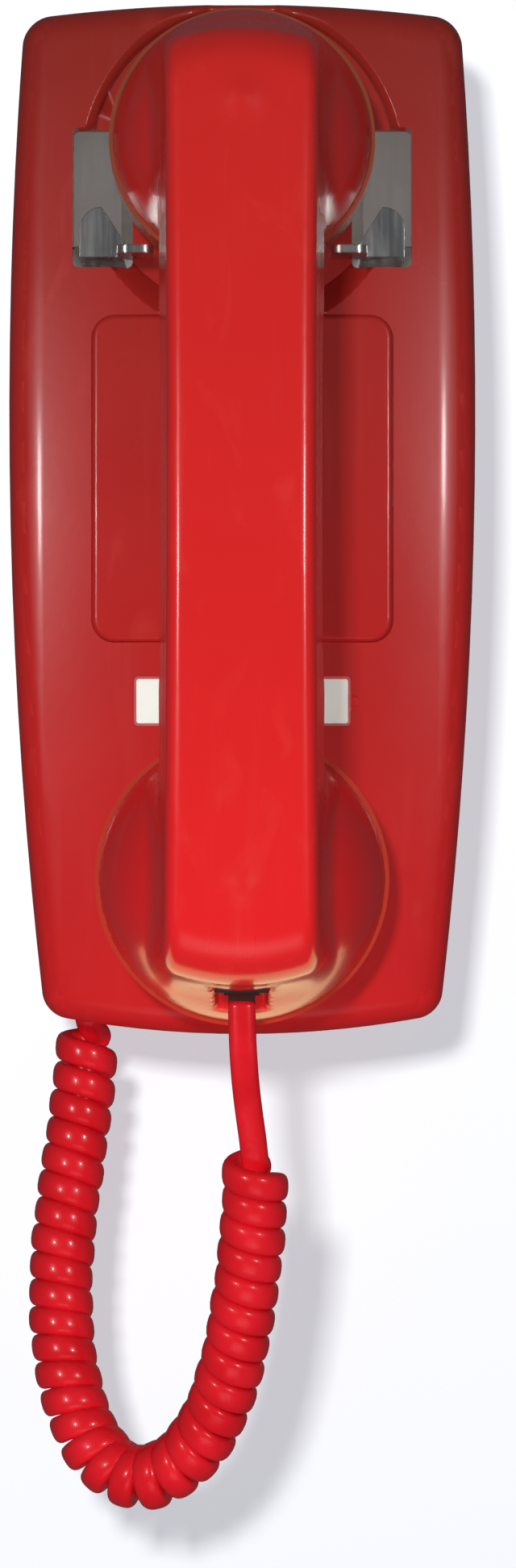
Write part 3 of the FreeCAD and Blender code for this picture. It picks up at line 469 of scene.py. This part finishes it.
def curly_centres(line):
    """Centres of the cord's rings, and the thin direction of the strand at each."""
    run = np.concatenate([[0], np.cumsum(np.linalg.norm(np.diff(line, axis=0), axis=1))])
    total = run[-1]
    tangents, sides = carried_frames(line, (0, 1, 0))
    stations = [COIL_START]
    while stations[-1] < total - COIL_END:
        loose = math.exp(-(stations[-1] - COIL_START) / LOOSE_FADE)
        stations.append(stations[-1] + (PITCH + (PITCH_LOOSE - PITCH) * loose) / TURN_STEPS)
    stations = np.array(stations)
    turns = round(len(stations) / TURN_STEPS) - 0.25      # the last quarter turn is left off
    phases = np.linspace(0, -2 * math.pi * turns, len(stations))

    def on_line(values, at):
        return np.stack([np.interp(at, run, values[:, k]) for k in range(3)], 1)

    t = unit(on_line(tangents, stations))
    s = on_line(sides, stations)
    s = unit(s - t * np.sum(s * t, 1)[:, None])
    radial = s * np.cos(phases)[:, None] + np.cross(t, s) * np.sin(phases)[:, None]
    wobble = 1 + 0.02 * np.sin(0.37 * phases) + 0.014 * np.sin(0.9 * phases + 1.0)
    coil = on_line(line, stations) + radial * (HELIX_R * wobble)[:, None]

    into = unit(coil[1] - coil[0])
    away = unit(coil[-1] - coil[-2])
    head = bezier(line[0], line[0] + tangents[0] * 4 * MM, coil[0] - into * 5 * MM, coil[0], 16)
    join = total - COIL_END + LEAD_JOIN
    lead = on_line(line, np.linspace(join, total, 28))
    up = unit(on_line(tangents, np.array([join])))[0]
    bend = bezier(coil[-1], coil[-1] + away * 5 * MM, lead[0] - up * 7 * MM, lead[0], 26)
    centres = np.concatenate([head[:-1], coil, bend[1:-1], lead])
    first = np.repeat(radial[:1], len(head) - 1, 0)
    turn = np.ones((len(centres) - len(first) - len(radial), 1))
    turn[:len(bend), 0] = np.linspace(0, 1, len(bend))
    last = unit(radial[-1] * (1 - turn) + np.array([0, 1, 0]) * turn)
    return centres, np.concatenate([first, radial, last])


def strand_mesh(name, centres, thin_way, wide, thin, slot):
    """A closed tube through the centres; its section is a flattened oval."""
    along = np.gradient(centres, axis=0)
    along /= np.linalg.norm(along, axis=1)[:, None]
    normal = thin_way - along * np.sum(thin_way * along, 1)[:, None]
    normal /= np.linalg.norm(normal, axis=1)[:, None]
    side = np.cross(along, normal)
    verts, faces = [], []
    for c, n, w in zip(centres, normal, side):
        for k in range(RING):
            a = 2 * math.pi * (k + 0.5) / RING
            flat, tall = (math.copysign(abs(f) ** OVAL_POWER, f)
                          for f in (math.cos(a), math.sin(a)))
            verts.append(c + n * (thin / 2 * tall) + w * (wide / 2 * flat))
    for r in range(len(centres) - 1):
        here = r * RING
        there = here + RING
        for k in range(RING):
            j = (k + 1) % RING
            faces.append((here + k, here + j, there + j, there + k))
    last = (len(centres) - 1) * RING
    faces.append(tuple(range(RING))[::-1])
    faces.append(tuple(last + k for k in range(RING)))
    return new_piece(name, verts, faces, slot)


def build_cord():
    """The whole cord as one strand: a short head, the coil and the plain lead."""
    line = route_points(ROUTE)
    centres, thin_way = curly_centres(line)
    cord = strand_mesh("curly_cord", centres, thin_way, STRAND_WIDE, STRAND_THIN, "cord_red")
    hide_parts("handset_cord_coil", "cord_lead_handset", "cord_lead_base")
    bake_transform(cord)


# ---- handset shell, shaped by a distance field ----------------------------------------------------
def rounded_max(a, b, r):
    """Intersection of two fields with a rounding of radius r where they meet."""
    corner = np.hypot(np.maximum(a + r, 0), np.maximum(b + r, 0))
    return np.minimum(-r, np.maximum(a, b)) + corner


def rounded_min(a, b, r):
    """Union of two fields with a fillet of radius r where they meet."""
    return -rounded_max(-a, -b, r)


def circle_through(a, b, c):
    """Centre and radius of the circle through three points."""
    (ax, ay), (bx, by), (cx, cy) = a, b, c
    d = 2 * (ax * (by - cy) + bx * (cy - ay) + cx * (ay - by))
    a2, b2, c2 = ax * ax + ay * ay, bx * bx + by * by, cx * cx + cy * cy
    ux = (a2 * (by - cy) + b2 * (cy - ay) + c2 * (ay - by)) / d
    uy = (a2 * (cx - bx) + b2 * (ax - cx) + c2 * (bx - ax)) / d
    return ux, uy, math.hypot(ax - ux, ay - uy)


def cap_place(x, y, z, end):
    """Radius from a cap's axis and depth behind its face."""
    z = z - end * CAP_SPAN / 2
    a = end * CAP_TILT
    across = y * math.sin(a) + z * math.cos(a)
    return np.hypot(x, across), -(y * math.cos(a) - z * math.sin(a))


def between(value, low, high):
    """Negative where low < value < high."""
    return np.maximum(low - value, value - high)


def handle_field(p):
    """Signed distance, in mm, to the handset's hollow shell in the handset's frame."""
    x, y, z = p.T
    az = np.abs(z)
    face = np.hypot(y - HANDLE_BACK - HANDLE_BOW_R, z) - HANDLE_BOW_R
    past = np.maximum(np.maximum(z - HANDLE_TOP, HANDLE_BOTTOM - z) + PLAN_R, 0)
    ends = np.hypot(x, past) - PLAN_R
    grip = y - GRIP_Y - (z / THROAT_Z) ** 2
    level = y + CAP_DEPTH + CAP_GAP
    slope = BLOCK_SLOPE[0] * level - BLOCK_SLOPE[1] * (az - BLOCK_Z)
    inner = rounded_min(grip, rounded_max(level, slope, EDGE_SOFT), THROAT_R)
    bar = rounded_max(rounded_max(face, ends, HANDLE_END_R), inner, EDGE_SOFT)
    side = np.abs(x) - HANDLE_W / 2
    drafted = side * math.cos(DRAFT) + (HANDLE_INNER - y) * math.sin(DRAFT)
    shell = rounded_max(bar, rounded_max(side, drafted, 0.0), EDGE_SOFT)
    hollow = rounded_max(np.abs(x) - HOLLOW_HALF, between(y, *HOLLOW_Y), HOLLOW_SOFT)
    hollow = rounded_max(hollow, az - HOLLOW_Z, HOLLOW_SOFT)
    for end, radius in ((1, EAR_R), (-1, MOUTH_R)):
        r, depth = cap_place(x, y, z, end)
        rim = radius - RIM_STEP
        swell = ((rim + FLARE_END[0]) / 2 + FLARE_BULGE, FLARE_MID_DEPTH)
        cx, cy, cr = circle_through((rim, CAP_DEPTH), swell, FLARE_END)
        flare = rounded_max(np.hypot(r - cx, depth - cy) - cr, CAP_DEPTH - depth, FLARE_SOFT)
        shell = rounded_min(shell, flare, FLARE_FILLET)
        neck = rounded_max(r - radius + NECK_STEP, between(depth, *NECK_DEPTHS), RIM_SOFT)
        shell = np.minimum(shell, neck)
        cup = rounded_max(r - radius + CUP_WALL, between(depth, *CUP_DEPTHS), HOLLOW_SOFT)
        bore = rounded_max(r - BORE_R, between(depth, *BORE_DEPTHS), HOLLOW_SOFT)
        hollow = np.minimum(np.minimum(hollow, cup), bore)
    pocket = np.maximum(np.abs(x) - POCKET_HALF[0], np.abs(y - JACK_Y) - POCKET_HALF[1])
    pocket = np.maximum(pocket, z - POCKET_TOP)
    return rounded_max(shell, -np.minimum(hollow, pocket), RIM_SOFT)


def to_handset(p):
    """Row frame metres to handset frame millimetres."""
    turn = np.array(Matrix.Rotation(HANDSET_TILT, 3, "X"))
    return (p - np.array(HANDSET_ORIGIN)) @ turn.T / MM


def from_handset(p):
    """Handset frame millimetres to row frame metres."""
    turn = np.array(Matrix.Rotation(-HANDSET_TILT, 3, "X"))
    return (p * MM) @ turn.T + np.array(HANDSET_ORIGIN)


def gradient(field, p):
    """Slope of a field at each point, by differences over a tenth of a millimetre."""
    step = 0.05
    out = []
    for k in range(3):
        shift = np.zeros(3)
        shift[k] = step
        out.append((field(p + shift) - field(p - shift)) / (2 * step))
    return np.stack(out, 1)


def merged_copy(node, name):
    """A watertight copy of a CAD node's mesh, with its split corners joined."""
    data = frame["nodes"][node].data.copy()
    data.name = name
    bm = bmesh.new()
    bm.from_mesh(data)
    bmesh.ops.remove_doubles(bm, verts=bm.verts, dist=0.00001)
    bm.to_mesh(data)
    bm.free()
    piece = bpy.data.objects.new(name, data)
    bpy.context.scene.collection.objects.link(piece)
    return piece


def apply_modifiers(piece):
    bpy.context.view_layer.update()
    done = bpy.data.meshes.new_from_object(piece.evaluated_get(
        bpy.context.evaluated_depsgraph_get()))
    piece.modifiers.clear()
    piece.data = done


def build_handset_shell():
    """The CAD handle, remeshed evenly and snapped to handle_field's surface."""
    piece = merged_copy("handset_handle", "handset_shell")
    remesh = piece.modifiers.new("remesh", "REMESH")
    remesh.mode = "VOXEL"
    remesh.voxel_size = VOXEL
    apply_modifiers(piece)
    mesh = piece.data
    count = len(mesh.vertices)
    co = np.zeros(count * 3)
    mesh.vertices.foreach_get("co", co)
    p = to_handset(co.reshape(-1, 3))
    pairs = np.zeros(len(mesh.edges) * 2, int)
    mesh.edges.foreach_get("vertices", pairs)
    a, b = pairs.reshape(-1, 2).T
    degree = np.bincount(a, minlength=count) + np.bincount(b, minlength=count)
    for step in range(SNAP_STEPS):
        slope = gradient(handle_field, p)
        steep = np.maximum(np.sum(slope * slope, 1), 0.2)
        p = p - slope * (np.clip(handle_field(p), -SNAP_LIMIT, SNAP_LIMIT) / steep)[:, None]
        if step in SLIDE_STEPS:
            total = np.zeros_like(p)
            np.add.at(total, a, p[b])
            np.add.at(total, b, p[a])
            drift = total / degree[:, None] - p
            outward = slope / np.maximum(np.linalg.norm(slope, axis=1), 1e-6)[:, None]
            p = p + 0.5 * (drift - outward * np.sum(drift * outward, 1)[:, None])
    mesh.vertices.foreach_set("co", from_handset(p).ravel())
    mesh.update()
    mesh.shade_smooth()
    mesh.materials.clear()
    mesh.materials.append(MATERIALS["handset_red"])
    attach(piece, "handset")
    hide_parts("handset_handle")
    return piece


# ---- housing shell: the CAD mesh with exact normals on its outer skin ------------------------
def housing_field(p):
    """Signed distance, in mm, to the housing's outer skin."""
    x, y, z = p.T
    sides = np.hypot(np.abs(x) - HALF_WIDTH + SIDE_R, z - SIDE_Z) - SIDE_R
    top = np.hypot(x, z - TOP_Z + TOP_R) - TOP_R
    bottom = np.hypot(x, z - BOTTOM_Z - BOTTOM_R) - BOTTOM_R
    outline = rounded_max(sides, top, TOP_CORNER_R)
    outline = rounded_max(outline, bottom, BOTTOM_CORNER_R)
    reach = np.hypot(y - FRONT_Y - FACE_R, z)
    front = np.hypot(x, reach - FACE_R + CROWN_R) - CROWN_R
    return rounded_max(outline, front, EDGE_R)


def build_case():
    """The CAD housing's own mesh, shaded with the exact slopes of its outer skin."""
    piece = merged_copy("housing_shell", "case_moulding")
    mesh = piece.data
    mesh.shade_smooth()
    mesh.set_sharp_from_angle(angle=SHARP_ANGLE)
    p = np.array([v.co[:] for v in mesh.vertices]) / MM
    near = np.abs(housing_field(p)) < SKIN_REACH
    exact = unit(gradient(housing_field, p))
    normals = np.zeros((len(mesh.loops), 3))
    for face in mesh.polygons:
        ids = list(face.vertices)
        if near[ids].all() and min(exact[ids] @ np.array(face.normal)) > SKIN_MATCH:
            normals[list(face.loop_indices)] = exact[ids]
    mesh.normals_split_custom_set(normals.tolist())
    mesh.materials.clear()
    mesh.materials.append(MATERIALS["housing_red"])
    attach(piece, "root")
    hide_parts("housing_shell")


# ---- camera, lights and studio -------------------------------------------------------------------
def build_camera():
    data = bpy.data.cameras.new("camera")
    data.sensor_width = 36.0
    data.lens = LENS
    data.clip_start = 0.01
    data.clip_end = 20.0
    camera = bpy.data.objects.new("camera", data)
    camera.location = CAMERA_PLACE
    camera.rotation_euler = (math.radians(90), 0, 0)
    bpy.context.scene.collection.objects.link(camera)
    bpy.context.scene.camera = camera


def area_light(name, origin, target, size, power, colour=(1, 1, 1), glossy=True, shadow=True,
               diffuse=True):
    """A rectangular light aimed at a target; the camera never sees it."""
    data = bpy.data.lights.new(name, "AREA")
    data.shape = "RECTANGLE"
    data.size, data.size_y = size
    data.energy = power
    data.color = colour
    data.use_shadow = shadow
    light = bpy.data.objects.new(name, data)
    light.location = origin
    aim = Vector(target) - Vector(origin)
    light.rotation_euler = aim.to_track_quat("-Z", "Y").to_euler()
    light.visible_glossy = glossy
    light.visible_diffuse = diffuse
    light.visible_camera = False
    bpy.context.scene.collection.objects.link(light)
    return light


def studio_sweep():
    """A white wall that curves into a pale floor; clear from behind and to shadow rays."""
    profile = [(WALL_Y, SWEEP_TOP), (WALL_Y, FLOOR_Z + SWEEP_R)]
    for n in range(1, 13):
        a = math.pi / 2 * n / 12
        profile.append((WALL_Y - SWEEP_R + SWEEP_R * math.cos(a),
                        FLOOR_Z + SWEEP_R - SWEEP_R * math.sin(a)))
    profile.append((SWEEP_FRONT, FLOOR_Z))
    verts = [(x, y, z) for y, z in profile for x in (-SWEEP_HALF, SWEEP_HALF)]
    faces = [(2 * n, 2 * n + 2, 2 * n + 3, 2 * n + 1) for n in range(len(profile) - 1)]
    data = bpy.data.meshes.new("studio_sweep")
    data.from_pydata(verts, [], faces)
    data.shade_smooth()
    sweep = bpy.data.objects.new("studio_sweep", data)
    bpy.context.scene.collection.objects.link(sweep)

    material = bpy.data.materials.new("studio_white")
    material.use_nodes = True
    tree = material.node_tree
    paint = tree.nodes["Principled BSDF"]
    paint.inputs["Base Color"].default_value = (0.94, 0.95, 0.96, 1)
    paint.inputs["Roughness"].default_value = 0.9
    paint.inputs["Specular IOR Level"].default_value = 0.1
    paint.inputs["Emission Color"].default_value = (0.90, 0.96, 1.06, 1)
    paint.inputs["Emission Strength"].default_value = 0.36
    back = tree.nodes.new("ShaderNodeNewGeometry").outputs["Backfacing"]
    shadow = tree.nodes.new("ShaderNodeLightPath").outputs["Is Shadow Ray"]
    gone = math_node(tree, "MAXIMUM", back, shadow)
    through = tree.nodes.new("ShaderNodeBsdfTransparent").outputs[0]
    blend = tree.nodes.new("ShaderNodeMixShader")
    tree.links.new(gone, blend.inputs[0])
    tree.links.new(paint.outputs[0], blend.inputs[1])
    tree.links.new(through, blend.inputs[2])
    tree.links.new(blend.outputs[0], tree.nodes["Material Output"].inputs["Surface"])
    data.materials.append(material)
    sweep.visible_glossy = False
    sweep.visible_diffuse = False
    return sweep


def link_light(light, name, objects, state):
    """Lights only these objects (INCLUDE), or all but these (EXCLUDE)."""
    linked = bpy.data.collections.new(name)
    for piece in objects:
        linked.objects.link(piece)
    for entry in linked.collection_objects:
        entry.light_linking.link_state = state
    light.light_linking.receiver_collection = linked


def build_lights(sweep, handset):
    """A hard key in front, two small boxes for highlights, and soft fills."""
    area_light("front_key", (-0.19, -1.35, 0.22), MIDDLE, size=(0.13, 0.13), power=9.0,
               glossy=False)
    low = area_light("low_fill", (0.0, -0.42, -0.42), (0, -0.04, -0.06), size=(0.3, 0.2),
                     power=1.0, colour=(1.0, 0.97, 0.98), glossy=False, shadow=False)
    link_light(low, "low_fill_skips", [sweep], "EXCLUDE")
    area_light("left_box", (-0.56, -0.97, 0.08), MIDDLE, size=(0.07, 0.09), power=1.5,
               shadow=False)
    area_light("right_box", (0.56, -0.97, 0.12), MIDDLE, size=(0.07, 0.09), power=1.5,
               shadow=False)
    cream = area_light("low_cream", (0.0, -0.052, -0.128), (0, -0.052, 0), size=(0.14, 0.06),
                       power=0.045, colour=(1.0, 0.80, 0.42), shadow=False, diffuse=False)
    link_light(cream, "cream_on_handset", [handset, frame["nodes"]["transmitter_cap"]], "INCLUDE")
    area_light("rear_light", (0.5, 1.3, 0.6), (0, 0, 0), size=(1.0, 1.0), power=14.0,
               glossy=False)
    world = bpy.data.worlds.new("studio_world")
    bpy.context.scene.world = world
    world.use_nodes = True
    background = world.node_tree.nodes["Background"]
    background.inputs["Color"].default_value = (0.9, 0.92, 1.0, 1)
    background.inputs["Strength"].default_value = 0.07
    bpy.context.scene.view_settings.view_transform = "Standard"


def main():
    build_camera()
    build_cord()
    dress_cad_nodes()
    handset = build_handset_shell()
    build_case()
    build_lights(studio_sweep(), handset)


main()
